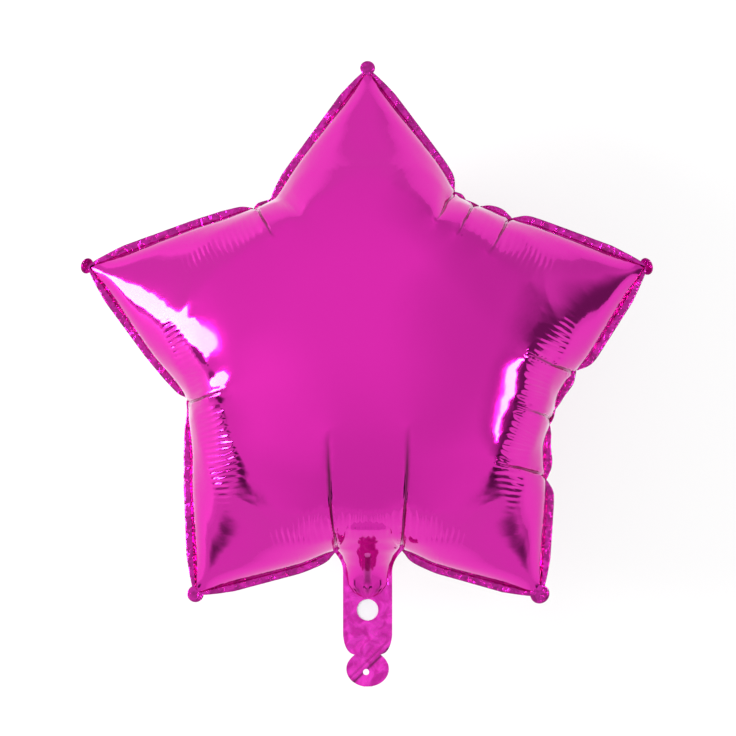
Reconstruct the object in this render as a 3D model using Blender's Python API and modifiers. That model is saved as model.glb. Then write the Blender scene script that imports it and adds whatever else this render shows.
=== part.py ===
"""Star foil balloon, blown up: two sheets of metallised film heat-sealed along a five-pointed star, with a flat
filling neck, a clear valve film lying inside the neck, and a round tab to hang it by.

It lies face up on the crown of its back sheet, which is pressed flat where it meets the ground. The origin is
the middle of that flat spot, +Y runs up the top arm and the neck runs out along -Y. Lengths are in metres.
"""

import math

import bmesh
import bpy
import numpy as np
from mathutils import Matrix, Vector

MM = 0.001

# Star, in the plane of its seam
ARMS = 5
SEAM_TIP_RADIUS = 206 * MM
SEAM_VALLEY_RADIUS = 136.5 * MM
SHEET_RISE = 94 * MM
CROWN_FLATNESS = 1.45
BELLY_FLAT_DEPTH = 0.35 * MM

# Gathers and creases that the shortened rim throws up beside each valley
GATHER_DEPTH = 1.6 * MM
GATHER_LENGTH = 34 * MM
GATHER_SPREAD = 62 * MM
GATHERED_LINES = 2
CREASE_DEPTH = 4.5 * MM
CREASE_LENGTH = 52 * MM
CREASE_WIDTH = 4 * MM
# Where the creases leave the rim: valley number, and distance along the rim, plus towards the next arm
CREASES = [
    (0, 6.5 * MM),
    (1, -6.5 * MM),
    (2, -25 * MM),
    (2, 24 * MM),
    (3, 33 * MM),
    (3, -1 * MM),
    (3, -36 * MM),
    (4, 12 * MM),
    (4, -2 * MM),
    (4, -25 * MM),
]

# Sealed margin round the star, with a round lobe past each tip
MARGIN_WIDTH = 6 * MM
MARGIN_AT_VALLEY = 2 * MM
MARGIN_THICKNESS = 0.8 * MM
MARGIN_FADE = 46 * MM
LOBE_RADIUS = 5.8 * MM
LOBE_SET_BACK = 2 * MM

# Neck and tab, below the star
NECK_WIDTH = 36 * MM
NECK_LENGTH = 79 * MM
NECK_ROOT_RADIUS = 8 * MM
NECK_END_RADIUS = 24.5 * MM
WAIST_WIDTH = 18.5 * MM
TAB_WIDTH = 30.8 * MM
TAB_HEIGHT = 25.8 * MM
TAB_HOLE_DIAMETER = 4.3 * MM
TAB_HOLE_BELOW_CENTRE = 1.5 * MM

# The part of the neck that the gas still holds open, with its lengthwise folds
PUFF_LENGTH = 40 * MM
PUFF_WIDTH = 27 * MM
PUFF_HEIGHT = 17 * MM
PUFF_FOLD_DEPTH = 0.14
PUFF_FOLD_SPACING = 4

# Filling hole, in the front sheet only, over the clear valve film
SLEEVE_SEAL = 4 * MM
FILM_PLY = 0.5 * MM
HOLE_DIAMETER = 15.5 * MM
HOLE_ABOVE_WAIST = 32.5 * MM
VALVE_THICKNESS = 0.3 * MM
VALVE_LENGTH = 58 * MM
VALVE_BELOW_HOLE = 5 * MM
CLEARANCE = 0.3 * MM

# How finely the film is divided: cells along one side of an arm's kite, how far they crowd towards its ends,
# steps in which the margin narrows, and chords to a quarter of a round
FILM_CELLS = 18
RIM_CROWDING = 0.6
FADE_STEPS = 4
ROUND_STEPS = 10
WELD_DISTANCE = 0.01 * MM

PLY_GAP = VALVE_THICKNESS + 2 * CLEARANCE
SLEEVE_THICKNESS = 2 * FILM_PLY + PLY_GAP
SEAM_HEIGHT = SHEET_RISE - BELLY_FLAT_DEPTH
HALF_PITCH = math.pi / ARMS
HOLE_Y = HOLE_ABOVE_WAIST - SEAM_VALLEY_RADIUS - NECK_LENGTH
VALVE_END_Y = HOLE_Y - HOLE_DIAMETER / 2 - VALVE_BELOW_HOLE
VALVE_WIDTH = NECK_WIDTH - 2 * (SLEEVE_SEAL + CLEARANCE)
OVERLAP = 10 * MM
NECK_VALLEY = 2
HUMP_PEAK = 4 / 27


def clear_scene():
    for item in list(bpy.data.objects):
        bpy.data.objects.remove(item, do_unlink=True)


def new_collection(name):
    made = bpy.data.collections.new(name)
    bpy.context.scene.collection.children.link(made)
    return made


def new_material(name, colour, roughness, metallic=0.0, alpha=1.0):
    made = bpy.data.materials.new(name)
    made.use_nodes = True
    shader = made.node_tree.nodes["Principled BSDF"]
    shader.inputs["Base Color"].default_value = (*colour, 1.0)
    shader.inputs["Roughness"].default_value = roughness
    shader.inputs["Metallic"].default_value = metallic
    shader.inputs["Alpha"].default_value = alpha
    return made


def object_from_bmesh(name, form, collection):
    mesh = bpy.data.meshes.new(name)
    form.to_mesh(mesh)
    form.free()
    made = bpy.data.objects.new(name, mesh)
    collection.objects.link(made)
    return made


def as_helper(helper):
    helper.hide_render = True
    helper.display_type = "WIRE"
    return helper


def combine(target, other, operation):
    step = target.modifiers.new(f"{operation.lower()} {other.name}", "BOOLEAN")
    step.operation = operation
    step.solver = "EXACT"
    step.object = as_helper(other)


def polar(radius, angle):
    return Vector((radius * math.cos(angle), radius * math.sin(angle)))


def tip_angle(arm):
    """Arm 0 points along +Y, and the others follow anticlockwise."""
    return math.pi / 2 + 2 * HALF_PITCH * arm


def arc(centre, radius, start, end, steps=ROUND_STEPS):
    """Points along a round stretch, both ends included."""
    return [centre + polar(radius, start + (end - start) * step / steps) for step in range(steps + 1)]


def rounded_corner(corner, before, after, radius):
    """The arc that rounds off a corner of an outline, with the points that come before and after it."""
    to_before = (before - corner).normalized()
    to_after = (after - corner).normalized()
    half_angle = to_before.angle(to_after) / 2
    centre = corner + (to_before + to_after).normalized() * radius / math.sin(half_angle)
    start = corner + to_before * radius / math.tan(half_angle) - centre
    end = corner + to_after * radius / math.tan(half_angle) - centre
    start_angle = math.atan2(start.y, start.x)
    turn = start.angle_signed(end)
    return arc(centre, radius, start_angle, start_angle - turn)


def plate(name, outline, thickness, height, collection):
    """A flat outline as a plate, centred on the given height, as a mesh that a Boolean can use."""
    curve = bpy.data.curves.new(name, "CURVE")
    curve.dimensions = "2D"
    curve.fill_mode = "BOTH"
    curve.extrude = thickness / 2
    spline = curve.splines.new("POLY")
    spline.points.add(len(outline) - 1)
    for point, place in zip(spline.points, outline):
        point.co = (place.x, place.y, 0, 1)
    spline.use_cyclic_u = True
    drawn = bpy.data.objects.new(name, curve)
    collection.objects.link(drawn)
    bpy.context.view_layer.update()
    mesh = bpy.data.meshes.new_from_object(drawn.evaluated_get(bpy.context.evaluated_depsgraph_get()))
    bpy.data.objects.remove(drawn)
    form = bmesh.new()
    form.from_mesh(mesh)
    bpy.data.meshes.remove(mesh)
    bmesh.ops.remove_doubles(form, verts=form.verts, dist=1e-7)
    bmesh.ops.recalc_face_normals(form, faces=form.faces)
    made = object_from_bmesh(name, form, collection)
    made.location.z = height
    return made


def cylinder(name, diameter, centre, bottom, top, collection):
    form = bmesh.new()
    radius = diameter / 2
    place = Matrix.Translation((centre.x, centre.y, (bottom + top) / 2))
    bmesh.ops.create_cone(
        form,
        cap_ends=True,
        segments=4 * ROUND_STEPS,
        radius1=radius,
        radius2=radius,
        depth=top - bottom,
        matrix=place,
    )
    return object_from_bmesh(name, form, collection)


def box(name, lowest, highest, collection):
    form = bmesh.new()
    size = highest - lowest
    place = Matrix.Translation((lowest + highest) / 2) @ Matrix.Diagonal((*size, 1))
    bmesh.ops.create_cube(form, size=1, matrix=place)
    return object_from_bmesh(name, form, collection)


def finer_at_ends(share):
    """Grid lines crowd towards the rim and the valleys, where the film bends most."""
    return share - RIM_CROWDING * math.sin(2 * math.pi * share) / (2 * math.pi)


def flat_star():
    """The front sheet laid flat: a kite of cells for each arm, from the centre to two valleys and the tip.

    It also gives, for each point, the number of the nearer valley, the side of the valley that it is on, the
    arm's tip, the valley's own point, and whether it is on a grid line that gathers inwards.
    """
    form = bmesh.new()
    tags = {}
    for arm in range(ARMS):
        tip = polar(SEAM_TIP_RADIUS, tip_angle(arm))
        right = polar(SEAM_VALLEY_RADIUS, tip_angle(arm) - HALF_PITCH)
        left = polar(SEAM_VALLEY_RADIUS, tip_angle(arm) + HALF_PITCH)
        grid = bmesh.ops.create_grid(form, x_segments=FILM_CELLS, y_segments=FILM_CELLS, size=0.5)
        for vert in grid["verts"]:
            across = vert.co.x + 0.5
            along = vert.co.y + 0.5
            u = finer_at_ends(across)
            v = finer_at_ends(along)
            place = u * right + v * left + u * v * (tip - right - left)
            vert.co = (place.x, place.y, 0)
            near_right = u >= v
            line = round((along if near_right else across) * FILM_CELLS)
            valley = (arm - 1) % ARMS if near_right else arm
            side = 1 if near_right else -1
            notch = right if near_right else left
            tags[vert] = (valley, side, tip, notch, line % GATHERED_LINES == 1)
    merged = bmesh.ops.find_doubles(form, verts=form.verts, dist=WELD_DISTANCE)["targetmap"]
    bmesh.ops.weld_verts(form, targetmap=merged)
    bmesh.ops.triangulate(form, faces=form.faces, quad_method="FIXED")
    return form, {vert: tag for vert, tag in tags.items() if vert.is_valid}


def soap_film(form):
    """How far a soap film blown over the same outline would rise at each point, as a share of its crown."""
    form.verts.index_update()
    places = np.array([vert.co.xy for vert in form.verts])
    count = len(places)
    stiffness = np.zeros((count, count))
    load = np.zeros(count)
    for face in form.faces:
        corners = [vert.index for vert in face.verts]
        a, b, c = places[corners]
        sides = np.array([c - b, a - c, b - a])
        area = face.calc_area()
        stiffness[np.ix_(corners, corners)] += sides @ sides.T / (4 * area)
        load[corners] += area / 3
    inside = [vert.index for vert in form.verts if not vert.is_boundary]
    rise = np.zeros(count)
    rise[inside] = np.linalg.solve(stiffness[np.ix_(inside, inside)], load[inside])
    return rise / rise.max()


def swell(share):
    """Film can't stretch, so it stands up steeply at the seam and is nearly flat on the crown."""
    return SHEET_RISE * math.sqrt(1 - (1 - share) ** CROWN_FLATNESS)


def hump(share):
    """Nothing at the seam, one a third of the way in, where it peaks, and nothing again at the far end."""
    return share * (1 - share) ** 2 / HUMP_PEAK if 0 < share < 1 else 0.0


def fold_depth(place, tag):
    """How far a point is drawn in by the gathers and by the creases that cross it."""
    valley, side, tip, notch, gathered = tag
    edge = (tip - notch).normalized()
    from_notch = place.xy - notch
    along = from_notch.dot(edge)
    inwards = abs(from_notch.cross(edge))
    spread = max(0.0, 1 - along / GATHER_SPREAD)
    depth = GATHER_DEPTH * spread * hump(inwards / GATHER_LENGTH) if gathered else 0.0
    for crease_valley, offset in CREASES:
        if crease_valley == valley:
            nearness = math.exp(-(((side * along - offset) / CREASE_WIDTH) ** 2))
            depth += CREASE_DEPTH * nearness * hump(inwards / CREASE_LENGTH)
    return depth


def inflated_star(name, collection):
    """The front sheet, blown up and gathered, and the back sheet as its mirror image below the seam."""
    form, tags = flat_star()
    rise = soap_film(form)
    for vert in form.verts:
        vert.co.z = swell(rise[vert.index])
    form.normal_update()
    moves = {vert: -vert.normal * fold_depth(vert.co, tags[vert]) for vert in form.verts}
    for vert, move in moves.items():
        if not vert.is_boundary:
            vert.co += move
    star = object_from_bmesh(name, form, collection)
    star.location.z = SEAM_HEIGHT
    mirror = star.modifiers.new("back sheet", "MIRROR")
    mirror.use_axis = (False, False, True)
    mirror.merge_threshold = WELD_DISTANCE
    return star


def margin_outline():
    """The edge of the sealed margin, anticlockwise from the neck, with the neck and tab in the last valley."""
    notch = polar(SEAM_VALLEY_RADIUS, -HALF_PITCH)
    edge = Vector((SEAM_TIP_RADIUS, 0)) - notch
    half_tip = math.atan2(-notch.y, edge.x)
    outward = Vector((edge.y, -edge.x)).normalized()
    up_the_side = []
    for step in range(FADE_STEPS + 1):
        share = step / FADE_STEPS
        width = MARGIN_AT_VALLEY + (MARGIN_WIDTH - MARGIN_AT_VALLEY) * share * (2 - share)
        from_notch = edge.normalized() * MARGIN_FADE * share
        up_the_side.append(notch + from_notch + outward * width)
    up_the_side[0] = polar(SEAM_VALLEY_RADIUS + MARGIN_AT_VALLEY, -HALF_PITCH)
    lobe_centre = Vector((SEAM_TIP_RADIUS + MARGIN_WIDTH / math.sin(half_tip) - LOBE_SET_BACK, 0))
    lobe_end = math.pi - half_tip - math.asin(LOBE_SET_BACK * math.sin(half_tip) / LOBE_RADIUS)
    lobe = arc(lobe_centre, LOBE_RADIUS, -lobe_end, lobe_end)
    down_the_side = [Vector((place.x, -place.y)) for place in reversed(up_the_side[1:])]
    outline = []
    for arm in range(NECK_VALLEY + 1, NECK_VALLEY + 1 + ARMS):
        for place in up_the_side + lobe + down_the_side:
            turned = place.copy()
            turned.rotate(Matrix.Rotation(tip_angle(arm), 2))
            outline.append(turned)
    return outline[1:] + neck_outline(outline[-1], outline[0])


def neck_outline(left_side, valley):
    """From the lower left arm down the neck, round the tab and up to the lower right arm."""
    half_neck = NECK_WIDTH / 2
    half_waist = WAIST_WIDTH / 2
    slope = (left_side.y - valley.y) / left_side.x
    root = Vector((-half_neck, valley.y - half_neck * slope))
    left = rounded_corner(root, left_side, root + Vector((0, -1)), NECK_ROOT_RADIUS)
    end_centre = Vector((NECK_END_RADIUS - half_neck, waist_y() + neck_end_drop()))
    end_sweep = math.asin(neck_end_drop() / NECK_END_RADIUS)
    left += arc(end_centre, NECK_END_RADIUS, math.pi, math.pi + end_sweep)
    tab_start = math.pi - math.asin(tab_rise())
    around = arc(Vector((0, 0)), 1, tab_start, 3 * math.pi - tab_start, 2 * ROUND_STEPS)
    middle = tab_middle()
    tab = [middle + Vector((place.x * TAB_WIDTH, place.y * TAB_HEIGHT)) / 2 for place in around[1:-1]]
    right = [Vector((-place.x, place.y)) for place in reversed(left)]
    return left + tab + right


def waist_y():
    return -(SEAM_VALLEY_RADIUS + NECK_LENGTH)


def neck_end_drop():
    """How far the round of the neck's lower corners reaches down, from full width to the waist."""
    inset = (NECK_WIDTH - WAIST_WIDTH) / 2
    return math.sqrt(NECK_END_RADIUS**2 - (NECK_END_RADIUS - inset) ** 2)


def tab_rise():
    """Height of the waist above the tab's middle, as a share of half the tab's height."""
    return math.sqrt(1 - (WAIST_WIDTH / TAB_WIDTH) ** 2)


def tab_middle():
    return Vector((0, waist_y() - tab_rise() * TAB_HEIGHT / 2))


def neck_puff(collection):
    """A long drop of gas in the top of the neck, gathered lengthwise where the sheets come together."""
    form = bmesh.new()
    stretch = Matrix.Diagonal((PUFF_WIDTH / 2, PUFF_LENGTH, PUFF_HEIGHT / 2, 1))
    place = Matrix.Translation((0, -SEAM_VALLEY_RADIUS, SEAM_HEIGHT)) @ stretch
    turned = place @ Matrix.Rotation(math.pi / 2, 4, "X")
    bmesh.ops.create_uvsphere(form, u_segments=4 * ROUND_STEPS, v_segments=2 * ROUND_STEPS, radius=1)
    for vert in form.verts:
        around = round(math.atan2(vert.co.y, vert.co.x) / (math.pi / 2) * ROUND_STEPS)
        if around % PUFF_FOLD_SPACING == PUFF_FOLD_SPACING // 2:
            vert.co.xy *= 1 - PUFF_FOLD_DEPTH
    bmesh.ops.transform(form, matrix=turned, verts=form.verts)
    return object_from_bmesh("neck_puff", form, collection)


def tongue_outline(half_width, low, high):
    """A straight tongue with a square upper end and round lower corners."""
    corner = half_width / 2
    left = Vector((-corner, low + corner))
    right = Vector((corner, low + corner))
    top = [Vector((half_width, high)), Vector((-half_width, high))]
    return top + arc(left, corner, math.pi, 1.5 * math.pi) + arc(right, corner, 1.5 * math.pi, 2 * math.pi)


def valve_outline(clearance):
    """The valve film, grown by the clearance for the pocket that it lies in."""
    high = VALVE_END_Y + VALVE_LENGTH + clearance
    return tongue_outline(VALVE_WIDTH / 2 + clearance, VALVE_END_Y - clearance, high)


def sleeve_outline():
    """The two sheets round the valve, held apart by it inside the flat neck."""
    half_width = NECK_WIDTH / 2 - SLEEVE_SEAL / 2
    return tongue_outline(half_width, VALVE_END_Y - SLEEVE_SEAL, -SEAM_VALLEY_RADIUS + OVERLAP)


def build_envelope(parts, cutters):
    envelope = inflated_star("foil_envelope", parts)
    margin = plate("seam_margin", margin_outline(), MARGIN_THICKNESS, SEAM_HEIGHT, cutters)
    combine(envelope, margin, "UNION")
    combine(envelope, neck_puff(cutters), "UNION")
    sleeve = plate("neck_sleeve", sleeve_outline(), SLEEVE_THICKNESS, SEAM_HEIGHT, cutters)
    combine(envelope, sleeve, "UNION")

    reach = SEAM_TIP_RADIUS
    ground = box("ground", Vector((-reach, -reach, -OVERLAP)), Vector((reach, reach, 0)), cutters)
    combine(envelope, ground, "DIFFERENCE")
    pocket = plate("valve_pocket", valve_outline(CLEARANCE), PLY_GAP, SEAM_HEIGHT, cutters)
    combine(envelope, pocket, "DIFFERENCE")
    hole_centre = Vector((0, HOLE_Y))
    front = SEAM_HEIGHT + SLEEVE_THICKNESS
    hole = cylinder("filling_hole", HOLE_DIAMETER, hole_centre, SEAM_HEIGHT, front, cutters)
    combine(envelope, hole, "DIFFERENCE")
    tab_hole_centre = tab_middle() - Vector((0, TAB_HOLE_BELOW_CENTRE))
    low = SEAM_HEIGHT - MARGIN_THICKNESS
    high = SEAM_HEIGHT + MARGIN_THICKNESS
    tab_hole = cylinder("tab_hole", TAB_HOLE_DIAMETER, tab_hole_centre, low, high, cutters)
    combine(envelope, tab_hole, "DIFFERENCE")
    return envelope


def build_valve(parts):
    return plate("valve_film", valve_outline(0), VALVE_THICKNESS, SEAM_HEIGHT, parts)


def main():
    clear_scene()
    parts = new_collection("star_foil_balloon")
    cutters = new_collection("cutters")

    envelope = build_envelope(parts, cutters)
    magenta_foil = new_material("magenta_foil", (0.68, 0.022, 0.4), roughness=0.2, metallic=0.9)
    envelope.data.materials.append(magenta_foil)

    valve = build_valve(parts)
    clear_film = new_material("clear_film", (0.78, 0.78, 0.8), roughness=0.3, alpha=0.6)
    valve.data.materials.append(clear_film)

    envelope.data.shade_smooth()
    envelope.data.set_sharp_from_angle(angle=math.radians(40))


main()
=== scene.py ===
import math

import bpy
import bmesh
import numpy as np
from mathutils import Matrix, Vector
from mathutils.bvhtree import BVHTree
from mathutils.geometry import delaunay_2d_cdt


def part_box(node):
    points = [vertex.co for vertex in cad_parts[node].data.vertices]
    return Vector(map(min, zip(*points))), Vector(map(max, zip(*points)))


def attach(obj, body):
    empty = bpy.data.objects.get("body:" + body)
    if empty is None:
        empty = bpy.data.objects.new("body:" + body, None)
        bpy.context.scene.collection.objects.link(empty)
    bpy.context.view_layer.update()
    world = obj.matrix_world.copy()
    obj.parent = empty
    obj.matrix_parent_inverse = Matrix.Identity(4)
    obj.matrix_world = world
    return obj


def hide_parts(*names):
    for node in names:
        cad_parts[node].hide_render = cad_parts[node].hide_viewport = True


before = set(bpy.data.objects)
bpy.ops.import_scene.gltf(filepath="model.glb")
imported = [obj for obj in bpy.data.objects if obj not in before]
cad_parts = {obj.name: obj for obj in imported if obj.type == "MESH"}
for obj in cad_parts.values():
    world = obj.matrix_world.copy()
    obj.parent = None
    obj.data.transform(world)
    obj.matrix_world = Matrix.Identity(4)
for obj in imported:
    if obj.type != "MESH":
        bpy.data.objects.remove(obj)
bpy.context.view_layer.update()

# Star body: two flat stars of metallised film, welded to each other along the seam and blown up tight.
# Film can't stretch, so the arms draw in, the notches gather, and creases run up the walls from them.
# The pattern is cut flat and blown up as cloth, then a finer film is laid on it, creased and gathered.
seam_height = 0.09365
star_rise = 0.0938
sheet_tip = 0.2405
sheet_notch = 0.202
tip_round = 0.005
notch_round = 0.010
tip_reach = 0.207
arm_pitch = 0.4 * math.pi
half_pitch = arm_pitch / 2
tip_bearings = [math.pi / 2 + arm_pitch * arm for arm in range(5)]


def on_bearing(radius, bearing):
    """The point at a radius from the star's middle, on a bearing from +X."""
    return np.array((radius * math.cos(bearing), radius * math.sin(bearing)))


def rounded(corner, before, after, radius, steps):
    """The points of the arc that rounds a corner of an outline."""
    back = (before - corner) / np.linalg.norm(before - corner)
    ahead = (after - corner) / np.linalg.norm(after - corner)
    half = math.acos(np.clip(back @ ahead, -1, 1)) / 2
    centre = corner + (back + ahead) / np.linalg.norm(back + ahead) * radius / math.sin(half)
    first = corner + back * radius / math.tan(half) - centre
    last = corner + ahead * radius / math.tan(half) - centre
    start = math.atan2(first[1], first[0])
    turn = (math.atan2(last[1], last[0]) - start + math.pi) % (2 * math.pi) - math.pi
    return [centre + on_bearing(radius, start + turn * i / steps) for i in range(steps + 1)]


def divided(outline, spacing):
    """A closed outline with its sides cut into equal steps of about the spacing."""
    points = []
    for here, there in zip(outline, np.roll(outline, -1, axis=0)):
        count = max(1, round(np.linalg.norm(there - here) / spacing))
        points += [here + (there - here) * i / count for i in range(count)]
    return np.array(points)


def star_outline(spacing):
    """The seam of the star as it is cut flat."""
    corners = []
    for bearing in tip_bearings:
        corners.append((on_bearing(sheet_tip, bearing), tip_round))
        corners.append((on_bearing(sheet_notch, bearing + half_pitch), notch_round))
    outline = []
    for i, (corner, radius) in enumerate(corners):
        outline += rounded(corner, corners[i - 1][0], corners[(i + 1) % 10][0], radius, 6)
    return divided(np.array(outline), spacing)


def inside(outline, points):
    """Which of the points lie inside a closed outline."""
    x, y = points.T
    within = np.zeros(len(points), bool)
    for (x0, y0), (x1, y1) in zip(outline, np.roll(outline, -1, axis=0)):
        if y0 != y1:
            within ^= ((y0 > y) != (y1 > y)) & (x < (x1 - x0) * (y - y0) / (y1 - y0) + x0)
    return within


def to_outline(outline, points):
    """Each point's distance to a closed outline, and how far along it the nearest place lies."""
    nearest = np.full(len(points), np.inf)
    place = np.zeros(len(points))
    run = 0.0
    for here, there in zip(outline, np.roll(outline, -1, axis=0)):
        step = there - here
        length = np.linalg.norm(step)
        part = np.clip((points - here) @ step / length ** 2, 0, 1)
        away = np.hypot(*(points - here - part[:, None] * step).T)
        closer = away < nearest - 1e-9
        nearest[closer] = away[closer]
        place[closer] = run + part[closer] * length
        run += length
    return nearest, place


def lattice(spacing, wobble, seed):
    """Points on a triangular grid over the whole star, each shifted a little at random."""
    rng = np.random.default_rng(seed)
    reach = 0.25
    across, along = np.meshgrid(np.arange(-reach, reach, spacing), np.arange(-reach, reach, spacing * 0.866))
    across = across + (np.arange(len(along)) % 2)[:, None] * spacing / 2
    points = np.stack([across.ravel(), along.ravel()], 1)
    return points + rng.uniform(-wobble, wobble, points.shape) * spacing


def triangulated(outline, inner):
    """The points of an outline and those inside it, joined by triangles that face up."""
    points = np.concatenate([outline, inner])
    count = len(outline)
    edges = [(i, (i + 1) % count) for i in range(count)]
    found = delaunay_2d_cdt([Vector(p) for p in points], edges, [], 1, 1e-7)
    places = np.array([v[:] for v in found[0]])
    triangles = np.array(found[2])
    triangles = triangles[inside(outline, places[triangles].mean(axis=1))]
    a, b, c = (places[triangles[:, i]] for i in range(3))
    turned = np.cross(b - a, c - a) < 0
    triangles[turned] = triangles[turned][:, ::-1]
    return places, triangles


def smoothed(values, triangles, weight, rounds):
    """Each point moved towards the middle of its neighbours, by its own weight, a number of times."""
    pairs = np.concatenate([triangles[:, [0, 1]], triangles[:, [1, 2]], triangles[:, [2, 0]]])
    pairs = np.unique(np.sort(pairs, axis=1), axis=0)
    count = np.bincount(pairs.ravel(), minlength=len(values)).clip(1)[:, None]
    for _ in range(rounds):
        total = np.zeros_like(values)
        np.add.at(total, pairs[:, 0], values[pairs[:, 1]])
        np.add.at(total, pairs[:, 1], values[pairs[:, 0]])
        values = values + weight[:, None] * (total / count - values)
    return values


def inflated(places, triangles, seam_count, frames):
    """The flat pattern doubled, welded at the seam and blown up; returns the front sheet's points."""
    loose = np.arange(seam_count, len(places))
    back = np.arange(len(places))
    back[loose] = len(places) + np.arange(len(loose))
    gap, _ = to_outline(places[:seam_count], places[loose])
    first_rise = np.minimum(0.02, 0.15 * gap)
    count = len(places) + len(loose)
    flat = np.zeros((count, 3))
    flat[:len(places), :2] = places
    flat[len(places):, :2] = places[loose]
    start = flat.copy()
    start[loose, 2] = first_rise
    start[len(places):, 2] = -first_rise
    blow_scale = 10.0
    both_sheets = np.concatenate([triangles, back[triangles][:, ::-1]])
    mesh = bpy.data.meshes.new("blown film")
    mesh.from_pydata((start * blow_scale).tolist(), [], both_sheets.tolist())
    film = bpy.data.objects.new("blown film", mesh)
    bpy.context.scene.collection.objects.link(film)
    film.shape_key_add(name="Basis")
    cut = film.shape_key_add(name="as cut")
    cut.data.foreach_set("co", (flat * blow_scale).ravel())
    cut.value = 0
    cloth = film.modifiers.new("blow up", "CLOTH")
    film_settings = cloth.settings
    film_settings.quality = 8
    film_settings.mass = 0.3
    film_settings.air_damping = 1.0
    film_settings.tension_stiffness = 80
    film_settings.compression_stiffness = 1
    film_settings.shear_stiffness = 40
    film_settings.bending_stiffness = 0.05
    film_settings.tension_damping = 5
    film_settings.compression_damping = 5
    film_settings.shear_damping = 5
    film_settings.bending_damping = 0.5
    film_settings.use_pressure = True
    film_settings.uniform_pressure_force = 5
    film_settings.effector_weights.gravity = 0
    film_settings.rest_shape_key = cut
    cloth.collision_settings.use_collision = False
    cloth.collision_settings.use_self_collision = False
    cloth.point_cache.frame_start = 1
    cloth.point_cache.frame_end = frames
    for moment in range(1, frames + 1):
        bpy.context.scene.frame_set(moment)
    shaped = film.evaluated_get(bpy.context.evaluated_depsgraph_get()).to_mesh()
    blown = np.empty(count * 3, np.float32)
    shaped.vertices.foreach_get("co", blown)
    blown = blown.reshape(-1, 3).astype(float) / blow_scale
    film.modifiers.clear()
    bpy.data.objects.remove(film)
    bpy.data.meshes.remove(mesh)
    bpy.context.scene.frame_set(1)
    return blown[:len(places)]


# The pattern that is blown up: its points lie close near the seam, where the film gathers, and wider inside.
close_spacing = 0.0045
wide_spacing = 0.009
close_band = 0.05
point_wobble = 0.12
coarse_seam = star_outline(close_spacing)
close = lattice(close_spacing, point_wobble, 3)
wide = lattice(wide_spacing, point_wobble, 4)
close = close[inside(coarse_seam, close)]
wide = wide[inside(coarse_seam, wide)]
close_gap, _ = to_outline(coarse_seam, close)
wide_gap, _ = to_outline(coarse_seam, wide)
close = close[(close_gap > 0.0025) & (close_gap < close_band)]
wide = wide[wide_gap > close_band + 0.0027]
blown_flat, blown_triangles = triangulated(coarse_seam, np.concatenate([close, wide]))
blown_film = inflated(blown_flat, blown_triangles, len(coarse_seam), 41)

# The blown shape is scaled to the real star's reach and depth, and its crumpled rim is drawn smooth.
tip_reaches = (0.2060, 0.2105, 0.2100, 0.2112, 0.2102)
tip_pull_spread = 0.06
rim_smoothings = 40
gap, _ = to_outline(coarse_seam, blown_flat)
seam_count = len(coarse_seam)
reach = np.hypot(*blown_film[:seam_count, :2].T).max()
blown_film *= np.array((tip_reach / reach, tip_reach / reach, star_rise / blown_film[:, 2].max()))
blown_film[:seam_count, 2] = 0
for bearing, arm_reach in zip(tip_bearings, tip_reaches):
    end = np.argmin(np.hypot(*(blown_flat - on_bearing(sheet_tip - 0.003, bearing)).T))
    near = np.exp(-(np.hypot(*(blown_flat - blown_flat[end]).T) / tip_pull_spread) ** 2)
    blown_film[:, :2] += near[:, None] * (on_bearing(arm_reach, bearing) - blown_film[end, :2])
rim = blown_film[:seam_count].copy()
tip_gap = np.min([np.hypot(*(coarse_seam - on_bearing(sheet_tip, b)).T) for b in tip_bearings], axis=0)
rim_ease = np.clip((tip_gap - 0.02) / 0.03, 0, 1)[:, None]
for _ in range(rim_smoothings):
    rim += 0.5 * rim_ease * ((np.roll(rim, 1, axis=0) + np.roll(rim, -1, axis=0)) / 2 - rim)
blown_film[:seam_count] = rim
blown_film = smoothed(blown_film, blown_triangles, np.clip(1.15 - gap / 0.045, 0, 1) * (gap > 1e-4), 30)

# Creases: single sharp folds that run up the wall from the notches. Each has its notch, how far from it
# along the rim it starts in millimetres, how far it leans from the bag's middle to the rim's square, and
# its length.
creases = ((0, 6.5, 0.35, 0.098), (1, -6.5, 0.2, 0.105), (2, -22, 0, 0.150), (2, 22, 0, 0.154),
           (3, 34, 1, 0.094), (3, -1, 0, 0.076), (3, -40, 0.8, 0.080),
           (4, 17, 1, 0.098), (4, -2, 0, 0.100), (4, -27, 1, 0.090))
flat_rim_per_millimetre = 1.25e-3
crease_depth = 0.0026
crease_half_width = 0.0010
crease_valley = 0.0015
crease_valley_half_width = 0.0085
notch_bearings = [b + half_pitch for b in tip_bearings]
crease_lines = []
for notch, offset, lean, reach_in in creases:
    bearing = notch_bearings[notch]
    notch_point = on_bearing(sheet_notch, bearing)
    tip_point = on_bearing(sheet_tip, bearing + math.copysign(half_pitch, offset))
    along_rim = (tip_point - notch_point) / np.linalg.norm(tip_point - notch_point)
    inward = -notch_point / sheet_notch
    across_rim = np.array((-along_rim[1], along_rim[0]))
    across_rim *= np.sign(across_rim @ inward)
    direction = across_rim * lean + inward * (1 - lean)
    start = notch_point + along_rim * abs(offset) * flat_rim_per_millimetre
    crease_lines.append((start, direction / np.linalg.norm(direction), reach_in))

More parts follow.
